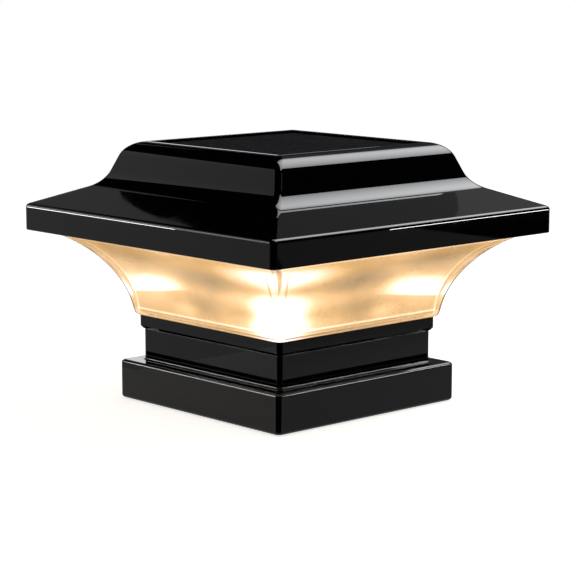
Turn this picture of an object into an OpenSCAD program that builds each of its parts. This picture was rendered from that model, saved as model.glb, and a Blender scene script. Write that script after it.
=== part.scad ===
// Square solar cap light for a deck post.
// Origin: centre of the skirt's bottom rim, +Z up, millimetres.

/* [Post fit] */
// Width of the sleeved post that the skirt takes
sleeve_w = 101.6; // [100:0.1:104]
// Gap on each side between the skirt's ribs and the sleeve
sleeve_gap = 0.5; // [0.3:0.1:1]
// How far the centring ribs stand in from the skirt's wall
rib_h = 2.2; // [1.2:0.1:3]
// Thickness of a centring rib
rib_t = 1.6; // [1.2:0.1:3]
// Distance from the middle of a side to each of its two ribs
rib_x = 30; // [20:1:40]
// Height at which the ribs start
rib_z = 1; // [0.5:0.1:3]
// Width of the bare wood post that the neck takes
post_w = 88.9; // [87:0.1:90]
// Gap on each side between the neck and the wood post
post_gap = 1.05; // [0.5:0.05:1.5]

/* [Base] */
// Height of the skirt
skirt_h = 18.5; // [15:0.5:20]
// Wall of the skirt
skirt_wall = 2.5; // [2:0.1:3.5]
// Thickness of the step between skirt and neck
step_t = 3; // [2:0.1:4]
// Height of the neck above the skirt
neck_h = 15; // [15:0.5:22]
// Wall of the neck
neck_wall = 2.5; // [2:0.1:3]
// How far below the neck's rim the top of the shelf lies
shelf_drop = 7; // [6.6:0.1:9]
// Thickness of the shelf that rests on the post
shelf_t = 2.5; // [2:0.1:3.5]
// Width of the square opening in the shelf
shelf_hole_w = 64; // [60:1:68]
// Spacing of the post screws across the base
post_screw_x = 76; // [74:0.5:80]
// Spacing of the post screws along the base
post_screw_y = 60; // [40:1:70]
// Diameter of the holes for the post screws
post_screw_d = 4.5; // [4:0.1:5.5]
// Radius of the upright corners outside
corner_r = 2; // [1:0.1:3]

/* [Collar tray] */
// Height of the collar
collar_h = 6.5; // [5.5:0.1:8]
// How far the collar stands out from the neck
collar_step = 1.5; // [0.5:0.1:2.5]
// Thickness of the tray's floor
floor_t = 2.5; // [2:0.1:3.2]
// Length of the spigot that drops into the neck
spigot_h = 5; // [3.5:0.1:6]
// Wall of the spigot
spigot_wall = 2; // [1.5:0.1:2.5]
// Gap between spigot and neck
spigot_gap = 0.3; // [0.2:0.05:0.6]

/* [Lens] */
// Height of the lens between collar and brim
lens_h = 40.2; // [36:0.1:46]
// Wall of the lens
lens_wall = 3; // [2:0.1:4]
// How far the lens's foot overhangs the collar
lens_overhang = 2; // [1:0.1:3]
// Lean of the lens's wall at its foot, in degrees from upright
lens_lean = 5.3; // [2:0.1:10]
// Width of the lens's foot flange, inwards from the wall
lens_foot_in = 4.6; // [4:0.1:6]
// Thickness of the lens's two flanges
lens_flange_t = 2; // [1.5:0.1:3]
// Radius of the lens's bottom corner
lens_foot_r = 2; // [1:0.1:2.5]
// Thickness of the gaskets above and below the lens
gasket_t = 0.8; // [0.5:0.1:1.2]
// Width of the gaskets
gasket_w = 3.2; // [2:0.1:4]

/* [Roof] */
// Width of the brim
brim_w = 175; // [168:0.5:184]
// Height of the brim's upright edge
brim_h = 12.2; // [10:0.1:15]
// Height of the roof above the brim
roof_h = 29.8; // [27:0.1:34]
// Wall of the roof shell
roof_wall = 2.5; // [2:0.1:3]
// Distance from the brim's edge in to the lens
brim_inset = 6.7; // [6:0.1:9]
// Pitch of the roof's slope in degrees
slope_pitch = 22; // [20:0.5:24]
// Pitch of the roof's steep sides in degrees
steep_pitch = 68.5; // [66:0.5:72]
// Radius of the hollow between slope and steep side
cove_r = 14; // [10:0.1:16]
// Radius of the shoulder, which rises to the panel's opening
shoulder_r = 11; // [9:0.1:12]

/* [Solar panel] */
// Width of the square opening for the panel
panel_w = 92.2; // [90:0.1:96]
// Wall around the panel's recess
recess_wall = 2; // [1.5:0.1:3]
// How far the panel lies below the rim
panel_sink = 1.5; // [1:0.1:2]
// Thickness of the panel's cover
cover_t = 1.2; // [1:0.1:1.6]
// Thickness of the solar cells
cell_t = 0.3; // [0.2:0.05:0.5]
// Gap between cells and around them
cell_gap = 1.2; // [0.6:0.1:3]
// Number of cell strips
cell_count = 4; // [2:1:6]
// Thickness of the panel's board
panel_board_t = 1.6; // [1:0.1:2]
// Thickness of the foam pad under the panel
pad_t = 1; // [0.6:0.1:1.2]
// Thickness of the floor under the panel
panel_floor_t = 2; // [1.5:0.1:2.5]
// Diameter of the holes that the panel's wires pass through
wire_hole_d = 7; // [6:0.5:9]

/* [Light tower] */
// Width of the tower in the middle of the lens
tower_w = 68; // [67:0.5:72]
// Wall of the tower
tower_wall = 1.8; // [1.5:0.1:2.2]
// Width between two opposite corner facets of the tower
tower_facets_w = 80; // [78.5:0.5:82]
// Thickness of the tower's top
tower_top_t = 2; // [1.5:0.1:3]
// Thickness of the reflecting ceiling plate
ceiling_t = 1.8; // [1.5:0.1:2.5]
// Width of a lamp board
led_board_w = 13; // [10:0.5:14]
// Height of a lamp board
led_board_h = 26; // [20:1:30]
// Thickness of a lamp board
led_board_t = 1.2; // [0.8:0.1:1.6]
// Width of a lamp's square body
led_w = 5; // [3:0.5:6]
// Thickness of a lamp's square body
led_t = 1.6; // [1:0.1:2]
// Diameter of a lamp's dome
led_dome_d = 4; // [2:0.5:4.5]
// Height of the lamps above the tray's floor
led_z = 23; // [18:1:26]

/* [Battery] */
// Diameter of the battery cell
battery_d = 14.2; // [13.8:0.1:14.6]
// Length of the battery cell, with its nipple
battery_l = 50; // [48:0.1:50.5]
// Room for the battery spring
spring_l = 5.5; // [4:0.1:6]
// Wire of the battery spring
spring_wire_d = 0.8; // [0.6:0.1:1]
// Turns of the battery spring
spring_turns = 4; // [3:0.5:5]
// Width of the battery spring at its foot
spring_wide_d = 10.2; // [9:0.1:11]
// Width of the battery spring at its tip
spring_narrow_d = 5.6; // [5:0.1:7]
// Diameter of the battery's nipple
nipple_d = 5.5; // [5:0.1:6]
// Height of the battery's nipple
nipple_h = 1; // [0.8:0.1:1.2]
// Thickness of the battery contacts
contact_t = 0.5; // [0.3:0.1:0.6]
// Wall of the battery holder
holder_wall = 1.6; // [1.2:0.1:2]
// Gap beside and above the battery
holder_gap = 0.6; // [0.3:0.1:0.8]
// Width of the holder's two ears
ear_w = 6; // [5:0.5:7]
// How far the ears stand out from the holder
ear_l = 6; // [5.5:0.1:6.5]
// Width of the solder tags on the battery contacts
tag_w = 3; // [2:0.5:4]
// How far the solder tags stand out of the holder
tag_h = 3; // [2:0.5:4]
// Place of the battery along Y, from the middle of the tray
battery_y = -10.7; // [-11:0.1:-10.3]

/* [Battery door] */
// Thickness of the door's plate
door_t = 1.8; // [1.5:0.1:2.2]
// Thickness of the door's seal
seal_t = 0.7; // [0.5:0.1:1]
// Width of the door's seal
seal_w = 2; // [1.5:0.1:2.2]
// Gap between the door, with its seal, and the tray
door_gap = 0.3; // [0.2:0.05:0.4]
// Height of the door's plug above its seal
plug_h = 1; // [0.6:0.1:1.2]
// Gap around the door's plug
plug_gap = 0.6; // [0.5:0.1:0.8]
// Gap between the door's plug and its seal
seal_gap = 0.2; // [0.1:0.1:0.4]
// Gap between the door's seal and the hinge
hinge_gap = 0.4; // [0.3:0.1:0.8]
// Diameter of the hinge pin
pin_d = 2; // [1.6:0.1:2.2]
// Length of the hinge pin
pin_l = 33; // [30:0.5:40]
// Diameter of the hinge barrel
barrel_d = 4.4; // [4:0.1:4.6]
// Length of the door's part of the barrel
barrel_l = 23.4; // [18:0.1:25]
// Clearance between the pin and the door's bore, on the radius
pin_gap = 0.08; // [0.05:0.01:0.15]
// Width of the finger tab
tab_w = 14; // [10:0.5:18]
// Length of the finger tab
tab_l = 4; // [3:0.1:5]

/* [Electronics] */
// Width of the control board
board_w = 36; // [34:0.5:38]
// Depth of the control board
board_l = 27; // [25:0.5:28]
// Thickness of the control board
board_t = 1.6; // [1:0.1:2]
// Place of the control board along Y, from the middle of the tray
board_y = 15.8; // [15:0.1:16.5]
// Height of the board's posts
board_post_h = 9; // [8.5:0.1:11]
// Diameter of the board's posts
board_post_d = 5; // [4.5:0.1:5.5]
// Length of the switch's body
switch_l = 13; // [11:0.1:14]
// Width of the switch's body
switch_w = 6.6; // [6:0.1:8]
// Height of the switch's body
switch_h = 5.5; // [5:0.1:6]
// Wall of the switch's body
switch_wall = 1; // [0.8:0.1:1.2]
// Travel of the switch's knob
switch_travel = 3; // [2:0.1:3.5]
// Length of the knob's grip
knob_l = 3; // [2.5:0.1:3.5]
// Width of the knob's grip
knob_w = 2.4; // [2:0.1:2.8]
// How far the knob stands out under the tray
knob_out = 1.4; // [1:0.1:2]
// Gap around the knob
knob_gap = 0.3; // [0.2:0.05:0.4]
// How far the knob's flange stands out at each end
knob_flange_out = 1; // [0.6:0.1:1.2]
// Thickness of the knob's flange
knob_flange_t = 1.2; // [1:0.1:1.5]
// Diameter of the switch's pins
switch_pin_d = 0.8; // [0.6:0.1:1]
// Spacing of the switch's pins
pin_pitch = 2.5; // [2:0.1:3]
// How far the switch's pins stand out of the board
pin_out = 0.8; // [0.5:0.1:1.2]
// Diameter of the wires
wire_d = 1.4; // [1:0.1:1.6]
// Radius of the wires' bends
wire_bend = 3.5; // [3:0.1:4]

/* [Screws] */
// Thread diameter of the screws that hold roof, tower and tray
screw_d = 3; // [2.5:0.1:3.5]
// Head diameter of those screws
screw_head_d = 5.6; // [5:0.1:6]
// Head height of those screws
screw_head_h = 2; // [1.5:0.1:2.5]
// Length of those screws under the head
screw_l = 12; // [10:0.5:14]
// Diameter of the bosses that they turn into
boss_d = 6.5; // [6:0.1:7]
// Distance from the middle to each roof screw, along both sides
roof_screw_x = 62; // [58:0.5:64]
// Distance from the middle to each tower screw, along both sides
tower_screw_x = 22; // [20:0.5:24]
// Distance from the middle to each tray screw, along both sides
tray_screw_x = 24.2; // [24:0.1:24.5]
// Thread diameter of the small screws
small_screw_d = 2; // [1.6:0.1:2.2]
// Length of the small screws under the head
small_screw_l = 6; // [5:0.5:7]
// Head diameter of the small screws
small_head_d = 4; // [3.4:0.1:4.2]
// Head height of the small screws
small_head_h = 1.4; // [1:0.1:1.6]

/* [Hidden] */
$fn = 48;
// How far a joined piece reaches into the one it joins
eps = 0.01;
// How far a cut runs past the faces that it opens
cut = 1;
// Segments of the long arcs and of the short ones
long_arc = 18;
short_arc = 10;

black = [0.05, 0.05, 0.055];
white = [0.92, 0.92, 0.9];
clear = [1, 0.93, 0.8, 0.55];
rubber = [0.12, 0.12, 0.12];
steel = [0.72, 0.72, 0.74];
board_green = [0.08, 0.36, 0.2];

// Widths of the base, from what it fits over
skirt_w = sleeve_w + 2 * (sleeve_gap + rib_h + skirt_wall);
neck_in = post_w / 2 + post_gap;
neck_w = 2 * (neck_in + neck_wall);
collar_w = neck_w + 2 * collar_step;

// Heights, from the bottom rim up
neck_z = skirt_h + neck_h;
shelf_z = neck_z - shelf_drop;
floor_z = neck_z + floor_t;
collar_z = neck_z + collar_h;
brim_z = collar_z + lens_h;
flange_z = brim_z + lens_flange_t;
ceiling_z = flange_z + gasket_t;
roof_in_z = ceiling_z + ceiling_t;
slope_z = brim_z + brim_h;
top_z = slope_z + roof_h;
cover_z = top_z - panel_sink - cover_t;
cell_z = cover_z - cell_t;
panel_board_z = cell_z - panel_board_t;
pad_z = panel_board_z - pad_t;
panel_floor_z = pad_z - panel_floor_t;

// Gap that every piece laid into another one has around it
fit_gap = 0.3;
// Material left under a blind screw hole
blind_skin = 0.6;

// Roof: half-widths and the lines that its outline follows
brim_half = brim_w / 2;
brim_in = brim_half - roof_wall - fit_gap;
recess_half = panel_w / 2 + recess_wall;
panel_half = panel_w / 2 - fit_gap;
slope_n = [sin(slope_pitch), cos(slope_pitch)];
steep_n = [sin(steep_pitch), cos(steep_pitch)];
shoulder_c = [panel_w / 2, top_z - shoulder_r];
slope_d = slope_n * [brim_half, slope_z];
steep_d = steep_n * shoulder_c + shoulder_r;

// Point where the lines n1.p = d1 and n2.p = d2 cross
function crossing(n1, d1, n2, d2) =
    let (k = n1[0] * n2[1] - n1[1] * n2[0])
    [(d1 * n2[1] - d2 * n1[1]) / k, (d2 * n1[0] - d1 * n2[0]) / k];

// Points on an arc about c, from angle a0 to a1
function arc(c, r, a0, a1, steps) =
    [for (i = [0 : steps]) let (a = a0 + (a1 - a0) * i / steps) c + r * [cos(a), sin(a)]];

cove_c = crossing(slope_n, slope_d + cove_r, steep_n, steep_d + cove_r);

// Half outline of the roof, set in from its skin by t and starting at height z0
function roof_outline(t, z0) = concat(
    [[brim_half - t, z0],
     [brim_half - t, (slope_d - t - slope_n[0] * (brim_half - t)) / slope_n[1]]],
    arc(cove_c, cove_r + t, 270 - slope_pitch, 270 - steep_pitch, long_arc),
    arc(shoulder_c, shoulder_r - t, 90 - steep_pitch, 90, short_arc)
);

// Lens: its wall is an arc from the foot to the brim
lens_foot = [collar_w / 2 + lens_overhang, collar_z];
lens_rim = [brim_half - brim_inset, brim_z];
lens_chord = lens_rim - lens_foot;
lens_turn = atan2(lens_chord[0], lens_chord[1]) - lens_lean;
lens_r = norm(lens_chord) / (2 * sin(lens_turn));
lens_c = lens_foot + lens_r * [cos(lens_lean), -sin(lens_lean)];
lens_in_r = lens_r + lens_wall;

// Angle on the lens's arc of radius r at height z
function lens_angle(r, z) = 180 - asin((z - lens_c[1]) / r);
function lens_half(r, z) = lens_c[0] + r * cos(lens_angle(r, z));

lens_foot_in_half = lens_half(lens_in_r, collar_z + lens_flange_t) - lens_foot_in;
gasket_in_half = lens_foot_in_half + fit_gap;
gasket_out_half = gasket_in_half + gasket_w;

lens_skin = concat(
    arc(lens_foot + [-lens_foot_r, lens_foot_r], lens_foot_r, 270, 360 - lens_lean, short_arc),
    arc(lens_c, lens_r, lens_angle(lens_r, collar_z + 1.5 * lens_foot_r),
        lens_angle(lens_r, brim_z), long_arc),
    [[brim_in, brim_z], [brim_in, flange_z]]
);
lens_hollow = concat(
    [[lens_foot_in_half, collar_z - cut], [lens_foot_in_half, collar_z + lens_flange_t]],
    arc(lens_c, lens_in_r, lens_angle(lens_in_r, collar_z + lens_flange_t),
        lens_angle(lens_in_r, flange_z), long_arc),
    [[lens_half(lens_in_r, flange_z), flange_z + cut]]
);

// Battery holder and its opening in the tray
bay_l = battery_l + spring_l + 2 * contact_t;
bay_w = battery_d + 2 * holder_gap;
bay_h = battery_d + 2 * holder_gap;
battery_x = bay_l / 2 - contact_t;
battery_z = floor_z + bay_h - holder_gap - battery_d / 2;
holder_top_z = floor_z + bay_h + holder_wall;
holder_l = bay_l + 2 * holder_wall;
holder_w = bay_w + 2 * holder_wall;
ear_x = holder_l / 2 - ear_w;
ear_hole_y = battery_y + holder_w / 2 + ear_l / 2;
ear_screw_l = holder_wall + floor_t - 2 * blind_skin;

// Battery door
seal_in_l = bay_l / 2 - plug_gap + seal_gap;
seal_in_w = bay_w / 2 - plug_gap + seal_gap;
hinge_y = battery_y - seal_in_w - seal_w - hinge_gap - barrel_d / 2;
hinge_z = neck_z - door_gap - barrel_d / 2;
door_top_z = neck_z - door_gap - seal_t;
lug_l = (pin_l - barrel_l) / 2 - fit_gap;
plug_l = bay_l - 2 * plug_gap;
plug_w = bay_w - 2 * plug_gap;

// Control board and switch
board_z = floor_z + board_post_h;
board_top_z = board_z + board_t;
board_post_inset = 3.5;
board_post_x = board_w / 2 - board_post_inset;
board_post_y = board_l / 2 - board_post_inset;
knob_flange_l = knob_l + 2 * knob_flange_out;
knob_flange_w = switch_w - 2 * switch_wall - 2 * knob_gap;
slot_l = knob_l + switch_travel + 2 * knob_gap;
slot_w = knob_w + 2 * knob_gap;
led_plug = [11, 4.5, 5];
led_plug_y = board_y - 6;
led_wire_pitch = 2.4;
panel_plug = [6, 4.5, 5];
panel_plug_y = board_y + 7;
panel_wire_pitch = 3;
battery_plug = [4, 3, 1.6];
battery_plug_x = 12;
battery_plug_y = board_y - 2;
chip = [5, 4, 1.6];
chip_at = [-8, board_y + 2];
coil = [6, 4];
coil_at = [8, board_y + 2];
capacitor = [4, 7];
capacitor_at = [9, board_y + 8.5];
wire_top_z = holder_top_z + tag_h + 1;

// Square prism between heights z0 and z1, with half-width h
module square_prism(h, z0, z1) {
    translate([-h, -h, z0]) cube([2 * h, 2 * h, z1 - z0]);
}

// Square prism with rounded upright corners
module rounded_prism(w, r, z0, z1) {
    translate([0, 0, z0]) linear_extrude(height = z1 - z0) {
        square([w, w - 2 * r], center = true);
        square([w - 2 * r, w], center = true);
        for (x = [-1, 1], y = [-1, 1]) translate([x, y] * (w / 2 - r)) circle(r = r);
    }
}

// Solid of square plan whose half-width follows an outline of [half-width, height]
module square_loft(outline) {
    n = len(outline);
    both = concat(outline, [for (i = [n - 1 : -1 : 0]) [-outline[i][0], outline[i][1]]]);
    length = 2 * max([for (p = outline) p[0]]) + 2 * cut;
    intersection() {
        rotate([90, 0, 0]) translate([0, 0, -length / 2]) linear_extrude(height = length) polygon(both);
        rotate([90, 0, 90]) translate([0, 0, -length / 2]) linear_extrude(height = length) polygon(both);
    }
}

module at_corners(x, y) {
    for (i = [-1, 1], j = [-1, 1]) translate([i * x, j * y, 0]) children();
}

module hole(d, z0, z1) {
    translate([0, 0, z0]) cylinder(d = d, h = z1 - z0);
}

// Pan-head screw pointing up, with its head's upper face at z
module screw_up(z, d, l, head_d, head_h) {
    difference() {
        union() {
            hole(head_d, z - head_h, z);
            hole(d, z - eps, z + l);
        }
        for (a = [0, 90]) rotate([0, 0, a])
            translate([-head_d * 0.3, -head_d * 0.07, z - head_h - cut])
            cube([head_d * 0.6, head_d * 0.14, cut + head_h * 0.5]);
    }
}

// Tube of n sides along a route in an upright plane; the route's points are [along, height]
module wire(start, heading, route) {
    n = 8;
    last = len(route) - 1;
    side = [-sin(heading), cos(heading), 0];
    ahead = [cos(heading), sin(heading), 0];
    rings = [for (i = [0 : last])
        let (a = route[max(i - 1, 0)], b = route[min(i + 1, last)],
             t = (b - a) / norm(b - a),
             over = -t[1] * ahead + [0, 0, t[0]],
             mid = [start[0], start[1], 0] + route[i][0] * ahead + [0, 0, route[i][1]])
        for (k = [0 : n - 1]) mid + wire_d / 2 * (cos(360 * k / n) * side + sin(360 * k / n) * over)];
    polyhedron(rings, concat(
        [[for (k = [0 : n - 1]) k]],
        [for (i = [0 : last - 1], k = [0 : n - 1])
            [i * n + k, (i + 1) * n + k, (i + 1) * n + (k + 1) % n, i * n + (k + 1) % n]],
        [[for (k = [n - 1 : -1 : 0]) last * n + k]]
    ));
}

// ---- base ----

module base_sleeve() {
    socket_half = skirt_w / 2 - skirt_wall;
    color(black) difference() {
        union() {
            difference() {
                union() {
                    rounded_prism(skirt_w, corner_r, 0, skirt_h);
                    rounded_prism(neck_w, corner_r, skirt_h - eps, neck_z);
                }
                square_prism(socket_half, -cut, skirt_h - step_t);
                square_prism(neck_in, skirt_h - step_t - cut, neck_z + cut);
            }
            square_prism(neck_in + neck_wall / 2, shelf_z - shelf_t, shelf_z);
            for (a = [0 : 90 : 270], x = [-rib_x, rib_x]) rotate([0, 0, a])
                translate([x - rib_t / 2, -socket_half - skirt_wall / 2, rib_z])
                cube([rib_t, rib_h + skirt_wall / 2, skirt_h - step_t - rib_z + eps]);
        }
        square_prism(shelf_hole_w / 2, 0, neck_z);
        at_corners(post_screw_x / 2, post_screw_y / 2)
            hole(post_screw_d, shelf_z - shelf_t - cut, shelf_z + cut);
    }
}

// ---- head: shells ----

module hinge_lugs() {
    for (s = [-1, 1]) translate([s * (barrel_l / 2 + fit_gap + lug_l / 2), hinge_y, 0]) {
        translate([-lug_l / 2, 0, hinge_z]) rotate([0, 90, 0]) cylinder(d = barrel_d, h = lug_l);
        translate([-lug_l / 2, -barrel_d / 2, hinge_z]) cube([lug_l, barrel_d, neck_z - hinge_z + eps]);
    }
}

module collar_tray() {
    spigot_half = neck_in - spigot_gap;
    color(black) difference() {
        union() {
            difference() {
                rounded_prism(collar_w, corner_r, neck_z, collar_z);
                square_prism(gasket_in_half, floor_z, collar_z + cut);
                square_prism(gasket_out_half, collar_z - gasket_t, collar_z + cut);
            }
            difference() {
                square_prism(spigot_half, neck_z - spigot_h, neck_z + eps);
                square_prism(spigot_half - spigot_wall, neck_z - spigot_h - cut, neck_z);
            }
            translate([0, board_y, 0]) at_corners(board_post_x, board_post_y)
                hole(board_post_d, floor_z - eps, board_z);
            hinge_lugs();
        }
        translate([-bay_l / 2, battery_y - bay_w / 2, neck_z - cut]) cube([bay_l, bay_w, floor_t + 2 * cut]);
        translate([-slot_l / 2, board_y - slot_w / 2, neck_z - cut]) cube([slot_l, slot_w, floor_t + 2 * cut]);
        at_corners(tray_screw_x, tray_screw_x) hole(screw_d + 2 * fit_gap, neck_z - cut, floor_z + cut);
        for (s = [-1, 1]) translate([s * ear_x, ear_hole_y, 0])
            hole(small_screw_d, neck_z + blind_skin, floor_z + cut);
        translate([0, board_y, 0]) at_corners(board_post_x, board_post_y)
            hole(small_screw_d, board_z - small_screw_l, board_z + cut);
        translate([-pin_l / 2, hinge_y, hinge_z]) rotate([0, 90, 0]) cylinder(d = pin_d, h = pin_l);
    }
}

module lens_gasket() {
    color(rubber) difference() {
        square_prism(gasket_out_half, collar_z - gasket_t, collar_z);
        square_prism(gasket_in_half, collar_z - gasket_t - cut, collar_z + cut);
    }
}

module lens() {
    color(clear) difference() {
        square_loft(lens_skin);
        square_loft(lens_hollow);
    }
}

module rim_gasket() {
    color(rubber) difference() {
        square_prism(brim_in, flange_z, ceiling_z);
        square_prism(brim_in - gasket_w, flange_z - cut, ceiling_z + cut);
    }
}

module ceiling_plate() {
    tower_screw_top = ceiling_z - tower_top_t + screw_l;
    color(white) difference() {
        union() {
            square_prism(brim_in, ceiling_z, roof_in_z);
            at_corners(tower_screw_x, tower_screw_x) hole(boss_d, roof_in_z - eps, tower_screw_top + cut);
        }
        translate([0, panel_plug_y, 0]) hole(wire_hole_d, ceiling_z - cut, roof_in_z + cut);
        at_corners(roof_screw_x, roof_screw_x) hole(screw_d + 2 * fit_gap, ceiling_z - cut, roof_in_z + cut);
        at_corners(tower_screw_x, tower_screw_x) hole(screw_d, ceiling_z - cut, tower_screw_top + 2 * cut);
    }
}

module roof_shell() {
    color(black) difference() {
        intersection() {
            square_loft(roof_outline(0, brim_z));
            rounded_prism(brim_w, corner_r, brim_z - cut, top_z + cut);
        }
        difference() {
            square_loft(roof_outline(roof_wall, brim_z - cut));
            square_prism(recess_half, panel_floor_z, top_z);
            at_corners(roof_screw_x, roof_screw_x) hole(boss_d, roof_in_z, top_z);
        }
        square_prism(panel_w / 2, pad_z, top_z + cut);
        translate([0, panel_plug_y, 0]) hole(wire_hole_d, panel_floor_z - cut, pad_z + cut);
        at_corners(roof_screw_x, roof_screw_x) hole(screw_d, roof_in_z - cut, ceiling_z + screw_l + cut);
    }
}

// ---- head: solar panel ----

module panel_pad() {
    color(rubber) difference() {
        square_prism(panel_half, pad_z, panel_board_z);
        translate([0, panel_plug_y, 0]) hole(wire_hole_d, pad_z - cut, panel_board_z + cut);
    }
}

module panel_board() {
    color(board_green) square_prism(panel_half, panel_board_z, cell_z);
}

module solar_cells() {
    cell_w = (2 * panel_half - (cell_count + 1) * cell_gap) / cell_count;
    cell_l = 2 * (panel_half - cell_gap);
    color([0.07, 0.08, 0.13]) for (i = [0 : cell_count - 1])
        translate([-panel_half + cell_gap + i * (cell_w + cell_gap), -cell_l / 2, cell_z])
        cube([cell_w, cell_l, cell_t]);
}

module panel_cover() {
    color([0.1, 0.1, 0.11]) square_prism(panel_half, cover_z, cover_z + cover_t);
}

// ---- head: light tower and lamps ----

module tower_prism(inset, z0, z1) {
    intersection() {
        square_prism(tower_w / 2 - inset, z0, z1);
        rotate([0, 0, 45]) square_prism(tower_facets_w / 2 - inset, z0, z1);
    }
}

// Places its children on the four corner facets, looking outwards along +X
module at_facets() {
    for (a = [45 : 90 : 315]) rotate([0, 0, a]) translate([tower_facets_w / 2, 0, floor_z + led_z]) children();
}

module light_tower() {
    tower_boss_z = floor_z + screw_l + tower_wall;
    color(white) difference() {
        union() {
            difference() {
                tower_prism(0, floor_z, ceiling_z);
                tower_prism(tower_wall, floor_z - cut, ceiling_z - tower_top_t);
            }
            intersection() {
                tower_prism(tower_wall / 2, floor_z, ceiling_z);
                union() {
                    at_corners(tray_screw_x, tray_screw_x) hole(boss_d, floor_z, tower_boss_z);
                    for (a = [45 : 90 : 315]) rotate([0, 0, a])
                        translate([tray_screw_x * sqrt(2), -tower_wall, floor_z])
                        cube([tower_facets_w / 2, 2 * tower_wall, tower_boss_z - floor_z]);
                }
            }
        }
        at_corners(tray_screw_x, tray_screw_x) hole(screw_d, floor_z - cut, floor_z + screw_l);
        at_corners(tower_screw_x, tower_screw_x)
            hole(screw_d + 2 * fit_gap, ceiling_z - tower_top_t - cut, ceiling_z + cut);
        translate([0, panel_plug_y, 0]) hole(wire_hole_d, ceiling_z - tower_top_t - cut, ceiling_z + cut);
        at_facets() rotate([0, -90, 0])
            cylinder(d = wire_d + 4 * fit_gap, h = 3 * tower_wall, center = true);
    }
}

module led_boards() {
    color(white) at_facets() translate([0, -led_board_w / 2, -led_board_h / 2])
        cube([led_board_t, led_board_w, led_board_h]);
}

module leds() {
    color([1, 0.85, 0.5]) at_facets() translate([led_board_t, 0, 0]) {
        translate([0, -led_w / 2, -led_w / 2]) cube([led_t, led_w, led_w]);
        intersection() {
            translate([led_t, 0, 0]) sphere(d = led_dome_d);
            translate([led_t / 2, -led_w / 2, -led_w / 2]) cube([led_t + led_dome_d, led_w, led_w]);
        }
    }
}

// ---- head: control board ----

module board_block(size, at) {
    translate([at[0] - size[0] / 2, at[1] - size[1] / 2, board_top_z]) cube(size);
}

module board_can(size, at) {
    translate([at[0], at[1], board_top_z]) cylinder(d = size[0], h = size[1]);
}

module control_board() {
    color(board_green) difference() {
        translate([-board_w / 2, board_y - board_l / 2, board_z]) cube([board_w, board_l, board_t]);
        translate([0, board_y, 0]) {
            at_corners(board_post_x, board_post_y)
                hole(small_screw_d + 2 * fit_gap, board_z - cut, board_top_z + cut);
            for (i = [-1 : 1]) translate([i * pin_pitch, 0, 0])
                hole(switch_pin_d + fit_gap, board_z - cut, board_top_z + cut);
        }
    }
}

module board_parts() {
    color([0.15, 0.15, 0.16]) {
        board_block(led_plug, [0, led_plug_y]);
        board_block(panel_plug, [0, panel_plug_y]);
        for (s = [-1, 1]) board_block(battery_plug, [s * battery_plug_x, battery_plug_y]);
        board_block(chip, chip_at);
        board_can(coil, coil_at);
        board_can(capacitor, capacitor_at);
    }
}

module board_screws() {
    color(steel) translate([0, board_y, 0]) at_corners(board_post_x, board_post_y)
        mirror([0, 0, 1])
        screw_up(-board_top_z, small_screw_d, small_screw_l, small_head_d, small_head_h);
}

// ---- head: battery ----

module battery_holder() {
    color(white) difference() {
        union() {
            translate([-holder_l / 2, battery_y - holder_w / 2, floor_z])
                cube([holder_l, holder_w, holder_top_z - floor_z]);
            for (s = [-1, 1]) translate([s * ear_x - ear_w / 2, battery_y, floor_z])
                cube([ear_w, holder_w / 2 + ear_l, holder_wall]);
        }
        translate([-bay_l / 2, battery_y - bay_w / 2, floor_z - cut]) cube([bay_l, bay_w, bay_h + cut]);
        for (s = [-1, 1]) {
            translate([s * ear_x, ear_hole_y, 0])
                hole(small_screw_d + 2 * fit_gap, floor_z - cut, floor_z + holder_wall + cut);
            translate([s * (bay_l - contact_t) / 2 - contact_t, battery_y - tag_w / 2 - fit_gap,
                       floor_z + bay_h - cut])
                cube([2 * contact_t, tag_w + 2 * fit_gap, holder_wall + 2 * cut]);
        }
    }
}

module battery_cell() {
    color([0.2, 0.45, 0.3]) translate([battery_x, battery_y, battery_z]) rotate([0, -90, 0]) {
        cylinder(d = nipple_d, h = nipple_h + eps);
        translate([0, 0, nipple_h]) cylinder(d = battery_d, h = battery_l - nipple_h);
    }
}

// Contact plate against the inner end of the holder on side s, with its solder tag
module contact(s) {
    w = bay_w - 2 * fit_gap;
    x = s > 0 ? bay_l / 2 - contact_t : -bay_l / 2;
    translate([x, battery_y - w / 2, floor_z + fit_gap]) cube([contact_t, w, bay_h - fit_gap]);
    translate([x, battery_y - tag_w / 2, floor_z + bay_h - cut])
        cube([contact_t, tag_w, cut + holder_wall + tag_h]);
}

module plate_contact() {
    color(steel) contact(1);
}

module spring_contact() {
    steps = 12 * spring_turns;
    sides = 6;
    reach = spring_l - spring_wire_d / 2;
    rings = [for (i = [0 : steps])
        let (a = 30 * i, r = (spring_wide_d + (spring_narrow_d - spring_wide_d) * i / steps) / 2,
             radial = [0, cos(a), sin(a)],
             mid = [-bay_l / 2 + contact_t + reach * i / steps, battery_y, battery_z] + r * radial)
        for (k = [0 : sides - 1])
            mid + spring_wire_d / 2 * (cos(60 * k) * radial - sin(60 * k) * [1, 0, 0])];
    color(steel) {
        contact(-1);
        polyhedron(rings, concat(
            [[for (k = [0 : sides - 1]) k]],
            [for (i = [0 : steps - 1], k = [0 : sides - 1])
                [i * sides + k, (i + 1) * sides + k, (i + 1) * sides + (k + 1) % sides,
                 i * sides + (k + 1) % sides]],
            [[for (k = [sides - 1 : -1 : 0]) steps * sides + k]]
        ));
    }
}

module holder_screws() {
    color(steel) for (s = [-1, 1]) translate([s * ear_x, ear_hole_y, 0])
        mirror([0, 0, 1])
        screw_up(-floor_z - holder_wall, small_screw_d, ear_screw_l, small_head_d, small_head_h);
}

// ---- head: switch ----

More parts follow.
